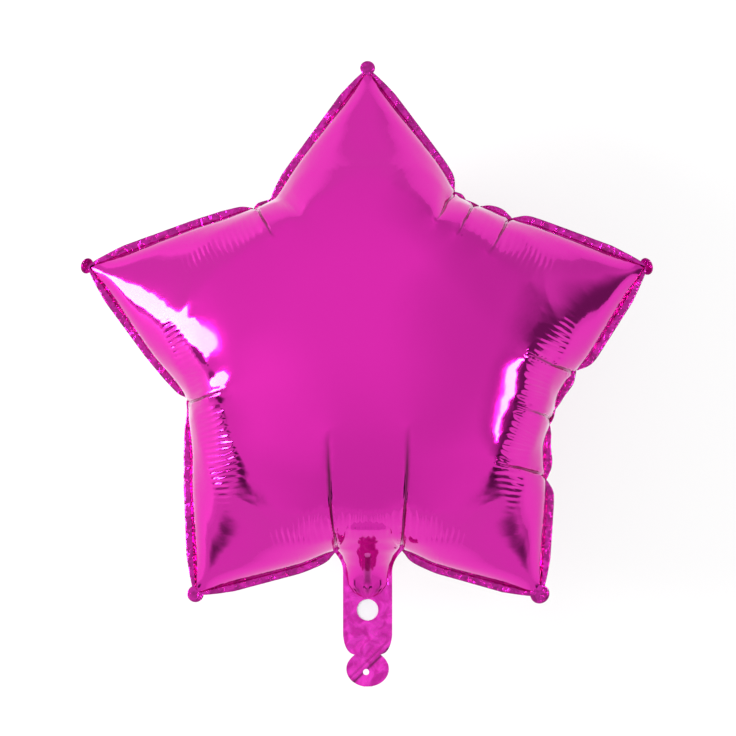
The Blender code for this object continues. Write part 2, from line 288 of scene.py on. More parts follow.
# The fine film: rows of points that keep one distance from the seam, and rows along the creases.
film_spacing = 0.00115
row_spacing = 0.0019
gathered_row_spacing = 0.0009
gathered_row_pitch = 0.0048
gathered_from, gathered_to = 0.041, 0.098
crease_clear = 0.0036
crease_step = 0.0016
crease_sides = (-0.0030, -0.0016, -0.0007, 0, 0.0007, 0.0016, 0.0030)
seam = star_outline(film_spacing)
sector = np.linspace(0, half_pitch, 73)
spokes = np.linspace(0.05, sheet_tip, 110)
spoke_points = np.array([on_bearing(r, tip_bearings[0] + turn) for turn in sector for r in spokes])
spoke_gaps, _ = to_outline(seam[::3], spoke_points)
spoke_gaps = np.where(inside(seam, spoke_points), spoke_gaps, -spoke_gaps).reshape(len(sector), len(spokes))


def seam_parallel(row_gap, spacing):
    """A closed line inside the flat sheet that keeps one distance from the seam."""
    reach = [np.interp(row_gap, gaps[::-1], spokes[::-1]) for gaps in spoke_gaps]
    line = []
    for bearing in tip_bearings:
        next_tip = bearing + arm_pitch
        line += [on_bearing(r, bearing + turn) for r, turn in zip(reach, sector)]
        line += [on_bearing(r, next_tip - turn) for r, turn in zip(reach[-2:0:-1], sector[-2:0:-1])]
    return divided(np.array(line), spacing)


rows = [seam_parallel(row_gap, row_spacing) for row_gap in (0.003, 0.008, 0.014, 0.020, 0.026, 0.032, 0.037)]
for row_gap in np.arange(gathered_from, gathered_to + 0.0005, gathered_row_pitch):
    rows.append(seam_parallel(row_gap, gathered_row_spacing))
middle = lattice(0.005, 0.1, 5)
middle = middle[inside(seam, middle)]
middle_gap, _ = to_outline(seam[::3], middle)
within = np.concatenate(rows + [middle[middle_gap > gathered_to + 0.003]])
along_creases = []
for start, direction, reach_in in crease_lines:
    square = np.array((-direction[1], direction[0]))
    along = (within - start) @ direction
    within = within[(np.abs((within - start) @ square) > crease_clear) | (along < 0) | (along > reach_in)]
    for step in np.arange(0.001, reach_in, crease_step):
        for aside in crease_sides:
            along_creases.append(start + direction * step + square * aside)
along_creases = np.array(along_creases)
along_gap, _ = to_outline(seam[::3], along_creases)
along_creases = along_creases[inside(seam, along_creases) & (along_gap > 0.0015)]
flat, triangles = triangulated(seam, np.concatenate([within, along_creases]))
film_gap, _ = to_outline(seam, flat)

# The fine film is laid on the blown shape, and the walls are filled out towards their shoulders.
wall_fullness = 0.80
blown_tree = BVHTree.FromPolygons([(x, y, 0) for x, y in blown_flat], blown_triangles.tolist())
film = np.empty((len(flat), 3))
for i, (x, y) in enumerate(flat):
    face = blown_triangles[blown_tree.find_nearest(Vector((x, y, 0)))[2]]
    a, b, c = blown_flat[face]
    share = np.linalg.solve(np.array((b - a, c - a)).T, np.array((x, y)) - a)
    film[i] = np.array((1 - share.sum(), *share)) @ blown_film[face]
film[:len(seam), 2] = 0
film[:, 2] = star_rise * (film[:, 2].clip(0) / star_rise) ** wall_fullness
film = smoothed(film, triangles, np.where(film_gap > 1e-5, 0.9, 0), 8)

# An arm is drawn tight from its tip, so its faces run as rays from there, as on a cone.
arm_run = 0.138
arm_swell = 0.93
arm_blend = 0.42
plain_film = film.copy()
plain_tree = BVHTree.FromPolygons([(x, y, 0) for x, y in flat], triangles.tolist())
for bearing, arm_reach in zip(tip_bearings, tip_reaches):
    apex_flat = on_bearing(sheet_tip, bearing)
    apex = np.array((*on_bearing(arm_reach + 0.002, bearing), 0))
    out_of_tip = flat - apex_flat
    ray = np.hypot(*out_of_tip.T)
    for i in np.nonzero(ray < arm_run)[0]:
        k = max(ray[i] / arm_run, 0.01)
        x, y = apex_flat + out_of_tip[i] / k
        face = triangles[plain_tree.find_nearest(Vector((x, y, 0)))[2]]
        a, b, c = flat[face]
        share = np.linalg.solve(np.array((b - a, c - a)).T, np.array((x, y)) - a).clip(0, 1)
        base = np.array((1 - share.sum(), *share)) @ plain_film[face]
        cone = apex + (base - apex) * k ** arm_swell
        mix = min(1, (1 - k) / arm_blend)
        mix = mix * mix * (3 - 2 * mix)
        film[i] += mix * (cone - film[i])
film[:len(seam), 2] = 0
film = smoothed(film, triangles, np.where(film_gap > 1e-5, 0.7, 0), 6)
film = smoothed(film, triangles, 0.9 * np.clip((film_gap - 0.025) / 0.025, 0, 1), 18)


def facing(points, triangles):
    """The way that the sheet faces at each point."""
    a, b, c = (points[triangles[:, i]] for i in range(3))
    across = np.cross(b - a, c - a)
    total = np.zeros_like(points)
    for i in range(3):
        np.add.at(total, triangles[:, i], across)
    return total / np.linalg.norm(total, axis=1)[:, None].clip(1e-12)


# Gathers: fine pleats a few millimetres apart, combed across the shoulder of the walls. The ten flanks run
# round from the top arm's left one: how strong each one's gathers are, and how far from the seam they end.
gather_pitch = 0.0044
gather_depth = 0.00105
gathers_start = 0.050
gather_row = 0.070
ridge_clear = 0.016
flank_shares = np.array((0.12, 0.5, 0.95, 1.05, 1.0, 0.9, 1.3, 1.3, 0.5, 0.12))
flank_ends = np.array((0.085, 0.088, 0.076, 0.096, 0.098, 0.098, 0.098, 0.098, 0.088, 0.085))
outward = facing(film, triangles)
depth = np.zeros(len(flat))
fold_shade = np.zeros(len(flat))
for start, direction, reach_in in crease_lines:
    along = (flat - start) @ direction
    across = (flat - start) @ np.array((-direction[1], direction[0]))
    fade = np.clip((along + 0.006) / 0.006, 0, 1) * np.clip((reach_in - along) / (0.5 * reach_in), 0, 1)
    depth += crease_depth * fade * np.exp(-np.abs(across) / crease_half_width)
    # Painted shade: a thin line along each crease, where the foil's colour will be darkened.
    fold_shade = np.maximum(fold_shade, np.clip(fade * 2.5, 0, 1) * (along > 0) * np.exp(-(across / 0.0008) ** 2))
    depth += crease_valley * fade * np.exp(-(across / crease_valley_half_width) ** 2)
_, gather_place = to_outline(seam_parallel(gather_row, 0.001), flat)
bearing_on = (np.arctan2(flat[:, 1], flat[:, 0]) - tip_bearings[0]) % (2 * math.pi)
flank = (bearing_on / half_pitch).astype(int) % 10
from_ridge = np.abs((bearing_on + half_pitch) % arm_pitch - half_pitch)
ridge_gap = np.hypot(*flat.T) * np.sin(from_ridge)
comb = np.clip((film_gap - gathers_start) / 0.010, 0, 1)
comb *= np.clip((flank_ends[flank] - film_gap) / 0.014, 0, 1)
comb *= np.clip((ridge_gap - ridge_clear) / 0.02, 0, 1) * flank_shares[flank]
wave = 0.5 - 0.5 * np.cos(2 * math.pi * gather_place / gather_pitch)
depth += gather_depth * comb * wave
film -= outward * depth[:, None]
film[:, 2] = film[:, 2].clip(0)
film[:len(seam), 2] = 0

# The back sheet mirrors the front one, and lies pressed flat where it meets the floor.
floor_ease = 0.0004
floor_ease_run = 0.002
loose = np.arange(len(seam), len(flat))
back = np.arange(len(flat))
back[loose] = len(flat) + np.arange(len(loose))
under = film[loose] * np.array((1, 1, -1))
points = np.concatenate([film, under])
points[:, 2] += seam_height
below = (points[:, 2] - floor_ease).clip(None, 0)
points[:, 2] = np.maximum(points[:, 2], floor_ease * np.exp(below / floor_ease_run))
both_sheets = np.concatenate([triangles, back[triangles][:, ::-1]])
star_mesh = bpy.data.meshes.new("star_body")
star_mesh.from_pydata(points.tolist(), [], both_sheets.tolist())
star_mesh.shade_smooth()
# The painted crease shade is kept on both sheets as a point attribute that the foil reads.
star_fold_shade = star_mesh.attributes.new("fold_shade", "FLOAT", "POINT")
star_fold_shade.data.foreach_set("value", np.concatenate([fold_shade, fold_shade[loose]]))
star_body = bpy.data.objects.new("star_body", star_mesh)
bpy.context.scene.collection.objects.link(star_body)
seam_points = film[:len(seam)] + np.array((0, 0, seam_height))

# Magenta foil: an aluminium mirror under a dyed, glossy film, never quite flat.
foil_colour = (0.72, 0.009, 0.42, 1)
# A dark colour for the painted shade in the folds.
fold_shade_colour = (0.13, 0.001, 0.06, 1)
foil = bpy.data.materials.new("magenta foil")
foil.use_nodes = True
foil_shader = foil.node_tree.nodes["Principled BSDF"]
foil_shader.inputs["Base Color"].default_value = foil_colour
foil_shader.inputs["Metallic"].default_value = 1.0
foil_shader.inputs["Roughness"].default_value = 0.09
foil_shader.inputs["Coat Weight"].default_value = 1.0
foil_shader.inputs["Coat Roughness"].default_value = 0.06
foil_shader.inputs["Coat IOR"].default_value = 1.28
foil_shader.inputs["Specular Tint"].default_value = (0.86, 0.30, 0.66, 1.0)
# Painted shade: down in a sharp fold the film mirrors only itself and looks much darker, so the foil's colour
# is mixed towards a dark one by the attribute that marks the folds.
fold_shade_input = foil.node_tree.nodes.new("ShaderNodeAttribute")
fold_shade_input.attribute_name = "fold_shade"
fold_shade_mix = foil.node_tree.nodes.new("ShaderNodeMix")
fold_shade_mix.data_type = "RGBA"
fold_shade_mix.inputs[6].default_value = foil_colour
fold_shade_mix.inputs[7].default_value = fold_shade_colour
foil.node_tree.links.new(fold_shade_input.outputs["Fac"], fold_shade_mix.inputs[0])
foil.node_tree.links.new(fold_shade_mix.outputs[2], foil_shader.inputs["Base Color"])
foil_place = foil.node_tree.nodes.new("ShaderNodeTexCoord")
slack = foil.node_tree.nodes.new("ShaderNodeTexNoise")
slack.inputs["Scale"].default_value = 55
slack.inputs["Detail"].default_value = 3
slack_bump = foil.node_tree.nodes.new("ShaderNodeBump")
slack_bump.inputs["Strength"].default_value = 0.35
slack_bump.inputs["Distance"].default_value = 0.0003
foil.node_tree.links.new(foil_place.outputs["Object"], slack.inputs["Vector"])
foil.node_tree.links.new(slack.outputs[0], slack_bump.inputs["Height"])
foil.node_tree.links.new(slack_bump.outputs[0], foil_shader.inputs["Normal"])
star_mesh.materials.append(foil)
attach(star_body, "root")
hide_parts("foil_envelope")

# Sealed rim: the flat margin outside the weld, both sheets fused by a hot die and trimmed 6 mm wide. It
# crinkles as the star draws in, and it narrows at the tips, at the notches and where a crease meets it.
rim_width = 0.0058
rim_thickness = 0.0005
rim_ripple = 0.0011
rim_ripples_per_metre = 260.0
rim_pinch = 0.6
rim_pinch_spread = 0.007

# Crinkled foil: the same film, duller and creased all over. Its colour is painted darker than the blown foil,
# and darker still in the hollows of the crinkle, as painted shade.
crinkled_shaded = foil.copy()
crinkled_shaded.name = "crinkled foil"
crinkled_nodes = crinkled_shaded.node_tree.nodes
crinkled_links = crinkled_shaded.node_tree.links
crinkled_shader = crinkled_nodes["Principled BSDF"]
crinkled_shader.inputs["Roughness"].default_value = 0.16
crumple = crinkled_nodes.new("ShaderNodeTexNoise")
crumple.inputs["Scale"].default_value = 150
crumple.inputs["Detail"].default_value = 4
crumple.inputs["Distortion"].default_value = 1.2
crumple_bump = crinkled_nodes.new("ShaderNodeBump")
crumple_bump.inputs["Strength"].default_value = 0.9
crumple_bump.inputs["Distance"].default_value = 0.0020
crinkled_links.new(crinkled_nodes["Texture Coordinate"].outputs["Object"], crumple.inputs["Vector"])
# Painted shade: the same noise that dents the surface darkens its colour in the hollows.
crinkle_shade_ramp = crinkled_nodes.new("ShaderNodeValToRGB")
crinkle_shade_ramp.color_ramp.elements[0].position = 0.38
crinkle_shade_ramp.color_ramp.elements[0].color = (0.36, 0.004, 0.21, 1)
crinkle_shade_ramp.color_ramp.elements[1].position = 0.62
crinkle_shade_ramp.color_ramp.elements[1].color = (0.66, 0.012, 0.41, 1)
crinkled_links.new(crumple.outputs[0], crinkle_shade_ramp.inputs[0])
for node in crinkled_nodes:
    if node.type == "MIX":
        crinkled_links.new(crinkle_shade_ramp.outputs[0], node.inputs[6])
crinkled_links.new(crumple.outputs[0], crumple_bump.inputs["Height"])
crinkled_links.new(crumple_bump.outputs[0], crinkled_shader.inputs["Normal"])
tip_run = np.min([np.hypot(*(seam - on_bearing(sheet_tip, b)).T) for b in tip_bearings], axis=0)
notch_run = np.min([np.hypot(*(seam - on_bearing(sheet_notch, b)).T) for b in notch_bearings], axis=0)
breadth = np.sqrt(np.clip(tip_run / 0.028, 0.08, 1)) * np.clip(notch_run / 0.035, 0.2, 1) ** 0.6
for start, _, _ in crease_lines:
    breadth *= 1 - rim_pinch * np.exp(-(np.hypot(*(seam - start).T) / rim_pinch_spread) ** 2)
path = bpy.data.curves.new("seam path", "CURVE")
path.dimensions = "3D"
run = path.splines.new("POLY")
run.points.add(len(seam_points) - 1)
run.points.foreach_set("co", np.column_stack([seam_points, np.ones(len(seam_points))]).ravel())
run.points.foreach_set("radius", breadth)
run.use_cyclic_u = True
seam_path = bpy.data.objects.new("seam path", path)
bpy.context.scene.collection.objects.link(seam_path)


def number_input(tree, name, value):
    """A named input of the tree, as its identifier and the value to give it."""
    socket = tree.interface.new_socket(name, in_out="INPUT", socket_type="NodeSocketFloat")
    return socket.identifier, value


def wire(tree, kind, **sockets):
    """A new node with its inputs linked or set, by name, or by number as i0, i1 and so on."""
    node = tree.nodes.new(kind)
    for name, source in sockets.items():
        target = node.inputs[int(name[1:])] if name[0] == "i" and name[1:].isdigit() else node.inputs[name]
        if isinstance(source, bpy.types.NodeSocket):
            tree.links.new(source, target)
        else:
            target.default_value = source
    return node


rim_tree = bpy.data.node_groups.new("crinkled rim", "GeometryNodeTree")
rim_tree.interface.new_socket("Seam", in_out="INPUT", socket_type="NodeSocketGeometry")
rim_sizes = [number_input(rim_tree, "Width", rim_width),
             number_input(rim_tree, "Thickness", rim_thickness),
             number_input(rim_tree, "Ripple Height", rim_ripple),
             number_input(rim_tree, "Ripples per Metre", rim_ripples_per_metre)]
rim_tree.interface.new_socket("Rim", in_out="OUTPUT", socket_type="NodeSocketGeometry")
given = rim_tree.nodes.new("NodeGroupInput").outputs
turned = wire(rim_tree, "GeometryNodeSetCurveNormal", i0=given["Seam"])
turned.mode = "Z_UP"
length = wire(rim_tree, "GeometryNodeSplineParameter")
kept_length = rim_tree.nodes.new("GeometryNodeCaptureAttribute")
kept_length.capture_items.new("FLOAT", "run")
rim_tree.links.new(turned.outputs[0], kept_length.inputs[0])
rim_tree.links.new(length.outputs["Length"], kept_length.inputs[1])
strip = wire(rim_tree, "GeometryNodeCurvePrimitiveQuadrilateral",
             Width=given["Width"], Height=given["Thickness"])
half_width = wire(rim_tree, "ShaderNodeMath", i0=given["Width"], i1=0.44)
half_width.operation = "MULTIPLY"
shift = wire(rim_tree, "ShaderNodeCombineXYZ", X=half_width.outputs[0])
finer = wire(rim_tree, "GeometryNodeSubdivideCurve", i0=strip.outputs[0], i1=3)
moved = wire(rim_tree, "GeometryNodeTransform", i0=finer.outputs[0], Translation=shift.outputs[0])
place = wire(rim_tree, "GeometryNodeInputPosition")
split = wire(rim_tree, "ShaderNodeSeparateXYZ", i0=place.outputs[0])
kept_across = rim_tree.nodes.new("GeometryNodeCaptureAttribute")
kept_across.capture_items.new("FLOAT", "across")
rim_tree.links.new(moved.outputs[0], kept_across.inputs[0])
rim_tree.links.new(split.outputs["X"], kept_across.inputs[1])
swept = rim_tree.nodes.new("GeometryNodeCurveToMesh")
rim_tree.links.new(kept_length.outputs[0], swept.inputs[0])
rim_tree.links.new(kept_across.outputs[0], swept.inputs["Profile Curve"])
local_breadth = wire(rim_tree, "GeometryNodeInputRadius")
rim_tree.links.new(local_breadth.outputs[0], swept.inputs["Scale"])
phase = wire(rim_tree, "ShaderNodeMath", i0=kept_length.outputs[1], i1=given["Ripples per Metre"])
phase.operation = "MULTIPLY"
skew = wire(rim_tree, "ShaderNodeMath", i0=kept_across.outputs[1], i1=90)
skew.operation = "MULTIPLY"
crinkle_at = wire(rim_tree, "ShaderNodeCombineXYZ", X=phase.outputs[0], Y=skew.outputs[0])
crinkle = wire(rim_tree, "ShaderNodeTexNoise", Vector=crinkle_at.outputs[0], Scale=1.0, Detail=2.0)
centred = wire(rim_tree, "ShaderNodeMath", i0=crinkle.outputs[0], i1=-0.5)
outer = wire(rim_tree, "ShaderNodeMath", i0=kept_across.outputs[1], i1=given["Width"])
outer.operation = "DIVIDE"
high_wave = wire(rim_tree, "ShaderNodeMath", i0=centred.outputs[0], i1=outer.outputs[0])
high_wave.operation = "MULTIPLY"
rise = wire(rim_tree, "ShaderNodeMath", i0=high_wave.outputs[0], i1=given["Ripple Height"])
rise.operation = "MULTIPLY"
rise_more = wire(rim_tree, "ShaderNodeMath", i0=rise.outputs[0], i1=3.0)
rise_more.operation = "MULTIPLY"
lift = wire(rim_tree, "ShaderNodeCombineXYZ", Z=rise_more.outputs[0])
waved = wire(rim_tree, "GeometryNodeSetPosition", i0=swept.outputs[0], Offset=lift.outputs[0])
solid = wire(rim_tree, "GeometryNodeRealizeInstances", i0=waved.outputs[0])
finished = wire(rim_tree, "GeometryNodeSetMaterial", i0=solid.outputs[0], Material=crinkled_shaded)
rim_end = rim_tree.nodes.new("NodeGroupOutput")
rim_tree.links.new(finished.outputs[0], rim_end.inputs[0])

grown = seam_path.modifiers.new("rim", "NODES")
grown.node_group = rim_tree
for identifier, value in rim_sizes:
    grown[identifier] = value
shown = bpy.context.evaluated_depsgraph_get()
rim_mesh = bpy.data.meshes.new_from_object(seam_path.evaluated_get(shown), depsgraph=shown)
seam_path.modifiers.remove(grown)
sealed_rim = bpy.data.objects.new("sealed_rim", rim_mesh)
bpy.context.scene.collection.objects.link(sealed_rim)
bpy.data.objects.remove(seam_path)
rim_mesh.shade_smooth()
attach(sealed_rim, "root")
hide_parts("foil_envelope")

# Tip lobes: the cutting die leaves a small round disc of fused film past the end of each arm, where the seams
# cross. Handling has turned some of them nearly on edge.
lobe_radius = 0.0057
lobe_thickness = 0.0016
lobe_reaches = (0.2092, 0.2135, 0.2120, 0.2122, 0.2122)
lobe_tilts = (12, -46, -8, 14, -50)
lobe_shares = (0.95, 1.0, 1.05, 1.25, 1.1)
lobe_tree = bpy.data.node_groups.new("tip lobes", "GeometryNodeTree")
lobe_tree.interface.new_socket("Ends", in_out="INPUT", socket_type="NodeSocketGeometry")
lobe_sizes = [number_input(lobe_tree, "Radius", lobe_radius),
              number_input(lobe_tree, "Thickness", lobe_thickness)]
lobe_tree.interface.new_socket("Lobes", in_out="OUTPUT", socket_type="NodeSocketGeometry")
given = lobe_tree.nodes.new("NodeGroupInput").outputs
ball = wire(lobe_tree, "GeometryNodeMeshUVSphere", Segments=40, Rings=20, Radius=1.0)
flatness = wire(lobe_tree, "ShaderNodeMath", i0=given["Thickness"], i1=0.5)
flatness.operation = "MULTIPLY"
squash = wire(lobe_tree, "ShaderNodeCombineXYZ", X=given["Radius"], Y=given["Radius"], Z=flatness.outputs[0])
disc = wire(lobe_tree, "GeometryNodeTransform", i0=ball.outputs[0], Scale=squash.outputs[0])
turn = wire(lobe_tree, "GeometryNodeInputNamedAttribute", Name="turn")
turn.data_type = "FLOAT_VECTOR"
set_out = wire(lobe_tree, "GeometryNodeInstanceOnPoints", Points=given["Ends"], Instance=disc.outputs[0])
size = wire(lobe_tree, "GeometryNodeInputNamedAttribute", Name="size")
lobe_tree.links.new(size.outputs["Attribute"], set_out.inputs["Scale"])
as_turn = wire(lobe_tree, "FunctionNodeEulerToRotation", i0=turn.outputs["Attribute"])
lobe_tree.links.new(as_turn.outputs[0], set_out.inputs["Rotation"])
solid = wire(lobe_tree, "GeometryNodeRealizeInstances", i0=set_out.outputs[0])
finished = wire(lobe_tree, "GeometryNodeSetMaterial", i0=solid.outputs[0], Material=crinkled_shaded)
lobe_end = lobe_tree.nodes.new("NodeGroupOutput")
lobe_tree.links.new(finished.outputs[0], lobe_end.inputs[0])

end_places = [(*on_bearing(reach, b), seam_height) for reach, b in zip(lobe_reaches, tip_bearings)]
ends = bpy.data.meshes.new("arm ends")
ends.from_pydata(end_places, [], [])
ends.attributes.new("turn", "FLOAT_VECTOR", "POINT")
ends.attributes.new("size", "FLOAT", "POINT")
for i, (bearing, tilt, share) in enumerate(zip(tip_bearings, lobe_tilts, lobe_shares)):
    ends.attributes["turn"].data[i].vector = (0, math.radians(tilt), bearing)
    ends.attributes["size"].data[i].value = share
arm_ends = bpy.data.objects.new("arm ends", ends)
bpy.context.scene.collection.objects.link(arm_ends)
placed = arm_ends.modifiers.new("lobes", "NODES")
placed.node_group = lobe_tree
for identifier, value in lobe_sizes:
    placed[identifier] = value
shown = bpy.context.evaluated_depsgraph_get()
lobe_mesh = bpy.data.meshes.new_from_object(arm_ends.evaluated_get(shown), depsgraph=shown)
arm_ends.modifiers.remove(placed)
tip_lobes = bpy.data.objects.new("tip_lobes", lobe_mesh)
bpy.context.scene.collection.objects.link(tip_lobes)
bpy.data.objects.remove(arm_ends)
lobe_mesh.shade_smooth()
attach(tip_lobes, "root")
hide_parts("foil_envelope")

# Neck: the two sheets run on as a flat sleeve with a waist and a round hanging tab, trimmed by the same die.
# A filling hole is punched through the front sheet alone, and a small one for the string through the tab.
neck_half = 0.0178
neck_root_half = 0.0275
neck_root_y = -0.138
waist_y = -0.2155
waist_half = 0.0094
tab_y = -0.2258
tab_half_width = 0.0154
tab_half_height = 0.0129
sleeve_thickness = 0.0012
hole_y = -0.183
hole_radius = 0.00775
tab_hole_radius = 0.0022
tab_hole_at = (-0.0011, -0.2281)
second_crease = 0.0042


def neck_side(y):
    """Half the sleeve's width at a height on the neck."""
    if y > neck_root_y - 0.018:
        t = min(1, (neck_root_y - y) / 0.018) if y < neck_root_y else 0
        return neck_half + (neck_root_half - neck_half) * (1 - t) ** 2.2
    if y > waist_y + 0.016:
        return neck_half
    if y > waist_y:
        t = (waist_y + 0.016 - y) / 0.016
        return neck_half - (neck_half - waist_half) * (1 - math.sqrt(1 - t * t))
    t = min(1, (tab_y - y) / tab_half_height)
    if t < 0:
        t2 = (y - tab_y) / (waist_y - tab_y)
        return tab_half_width + (waist_half - tab_half_width) * t2 ** 2.2
    return tab_half_width * math.sqrt(max(0, 1 - t * t))


sleeve_top = -0.118
tab_bottom = tab_y - tab_half_height * 0.985
grid_step = 0.0009
heights = np.concatenate([np.linspace(sleeve_top, waist_y, 90), np.linspace(waist_y, tab_bottom, 30)[1:]])
right_side = [(neck_side(y), y) for y in heights]
side = np.array([(-x, y) for x, y in right_side] + right_side[::-1])
sleeve_edge = divided(side, 0.0010)
sleeve_grid = np.meshgrid(np.arange(-0.028, 0.028, grid_step), np.arange(-0.240, -0.117, grid_step))
sleeve_grid = np.stack(sleeve_grid, -1).reshape(-1, 2)
sleeve_grid = sleeve_grid[inside(sleeve_edge, sleeve_grid)]
sleeve_gap, _ = to_outline(sleeve_edge, sleeve_grid)
sleeve_flat, sleeve_triangles = triangulated(sleeve_edge, sleeve_grid[sleeve_gap > 0.0006])


def from_diagonal(x, y):
    """Distance from the sharp crease that runs aslant over the waist and the tab."""
    return 0.72 * y - 0.69 * x + 0.1625


def sleeve_wave(x, y):
    """Sharp diagonal creases over the tab and soft dents above them, that the film keeps from handling."""
    lower = np.clip((-0.196 - y) / 0.01, 0, 1)
    square_to = from_diagonal(x, y)
    wave = -0.0011 * lower * np.exp(-np.abs(square_to) / 0.0010)
    wave -= 0.0007 * lower * np.exp(-np.abs(square_to - second_crease) / 0.0008)
    wave += 0.0005 * lower * np.sin(square_to / 0.0052 * math.pi)
    middle = np.clip((y + 0.212) / 0.012, 0, 1) * np.clip((-0.186 - y) / 0.006, 0, 1)
    wave += 0.0004 * middle * np.sin((y + 0.5 * x) / 0.0042 * math.pi + 2 * np.sin(x / 0.007))
    upper = np.clip((y + 0.180) / 0.02, 0, 1)
    wave += 0.0005 * upper * np.sin(x / 0.0035 * math.pi + 4 * np.sin(y / 0.009))
    return wave


lift_up = sleeve_wave(*sleeve_flat.T)
top = np.column_stack([sleeve_flat, seam_height + sleeve_thickness / 2 + lift_up])
bottom = np.column_stack([sleeve_flat, seam_height - sleeve_thickness / 2 + lift_up])
count = len(sleeve_flat)
edge_count = len(sleeve_edge)
walls = []
for i in range(edge_count):
    j = (i + 1) % edge_count
    walls += [(j, i, count + i), (j, count + i, count + j)]
sleeve_mesh = bpy.data.meshes.new("neck_sleeve")
faces = sleeve_triangles.tolist() + (sleeve_triangles[:, ::-1] + count).tolist() + walls
sleeve_mesh.from_pydata(np.concatenate([top, bottom]).tolist(), [], faces)
# Painted shade: the foil's colour is darkened along the two diagonal creases over the tab.
creased = from_diagonal(*sleeve_flat.T)
sleeve_fold_shade = np.exp(-(creased / 0.0008) ** 2) + 0.6 * np.exp(-((creased - second_crease) / 0.0006) ** 2)
sleeve_fold_shade *= np.clip((-0.202 - sleeve_flat[:, 1]) / 0.006, 0, 1)
sleeve_fold_shade_values = sleeve_mesh.attributes.new("fold_shade", "FLOAT", "POINT")
sleeve_fold_shade_values.data.foreach_set("value", np.tile(sleeve_fold_shade, 2))
neck_sleeve = bpy.data.objects.new("neck_sleeve", sleeve_mesh)
bpy.context.scene.collection.objects.link(neck_sleeve)


def punched(piece, x, y, low, high, radius):
    """Cut a round hole in the piece, from one height to another."""
    centre = (x, y, (low + high) / 2)
    bpy.ops.mesh.primitive_cylinder_add(vertices=48, radius=radius, depth=high - low, location=centre)
    punch = bpy.context.object
    cut = piece.modifiers.new("hole", "BOOLEAN")
    cut.object = punch
    cut.operation = "DIFFERENCE"
    cut.solver = "EXACT"
    graph = bpy.context.evaluated_depsgraph_get()
    made = bpy.data.meshes.new_from_object(piece.evaluated_get(graph), depsgraph=graph)
    piece.modifiers.remove(cut)
    piece.data = made
    bpy.data.objects.remove(punch)


punched(neck_sleeve, 0, hole_y, seam_height - 0.0001, seam_height + 0.01, hole_radius)
punched(neck_sleeve, *tab_hole_at, seam_height - 0.01, seam_height + 0.01, tab_hole_radius)
neck_sleeve.data.shade_smooth()
neck_sleeve.data.set_sharp_from_angle(angle=math.radians(50))
neck_sleeve.data.materials.clear()

# Handled foil: the same film where it isn't blown up, pressed flat and softly dented. Its colour is painted
# paler than the blown foil, as painted light, and darker in the hollows of its dents, as painted shade.
handled_painted_light = crinkled_shaded.copy()
handled_painted_light.name = "handled foil"
handled_painted_light_nodes = handled_painted_light.node_tree.nodes
handled_painted_light_nodes["Principled BSDF"].inputs["Roughness"].default_value = 0.20
for node in handled_painted_light_nodes:
    if node.type == "VALTORGB":
        node.color_ramp.elements[0].color = (0.62, 0.010, 0.38, 1)
        node.color_ramp.elements[1].color = (0.88, 0.035, 0.60, 1)
    elif node.type == "BUMP" and node.inputs["Distance"].default_value > 0.001:
        node.inputs["Distance"].default_value = 0.0007
    elif node.type == "TEX_NOISE" and node.inputs["Scale"].default_value > 100:
        node.inputs["Scale"].default_value = 95
neck_sleeve.data.materials.append(handled_painted_light)
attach(neck_sleeve, "root")
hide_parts("foil_envelope")

# Throat: where the bag's front sheet runs down its wall and into the neck, still blown up, between two
# creases, and dies out in pointed folds just above the filling hole.
throat_half = 0.0245
throat_leaves = (-0.121, 0.0620)
throat_lies = (-0.168, 0.0060)
throat_slopes = (-1.35, -0.25)
throat_end_y = -0.1745
throat_ease = 0.006
throat_narrows = (throat_end_y, -0.171, -0.165, -0.150, -0.143, -0.137)
throat_shares = (0.10, 0.38, 0.56, 0.67, 0.80, 1)
stripe_from, stripe_to = -0.139, -0.166
end_fold_shade_y = -0.1685
throat_folds = 3
bag_tree = BVHTree.FromPolygons(film.tolist(), triangles.tolist())


def bag_height(x, y):
    """Height of the blown front sheet above the seam at a place seen from above."""
    hit = bag_tree.ray_cast(Vector((x, y, 0.2)), Vector((0, 0, -1)))[0]
    return hit.z if hit else 0.0


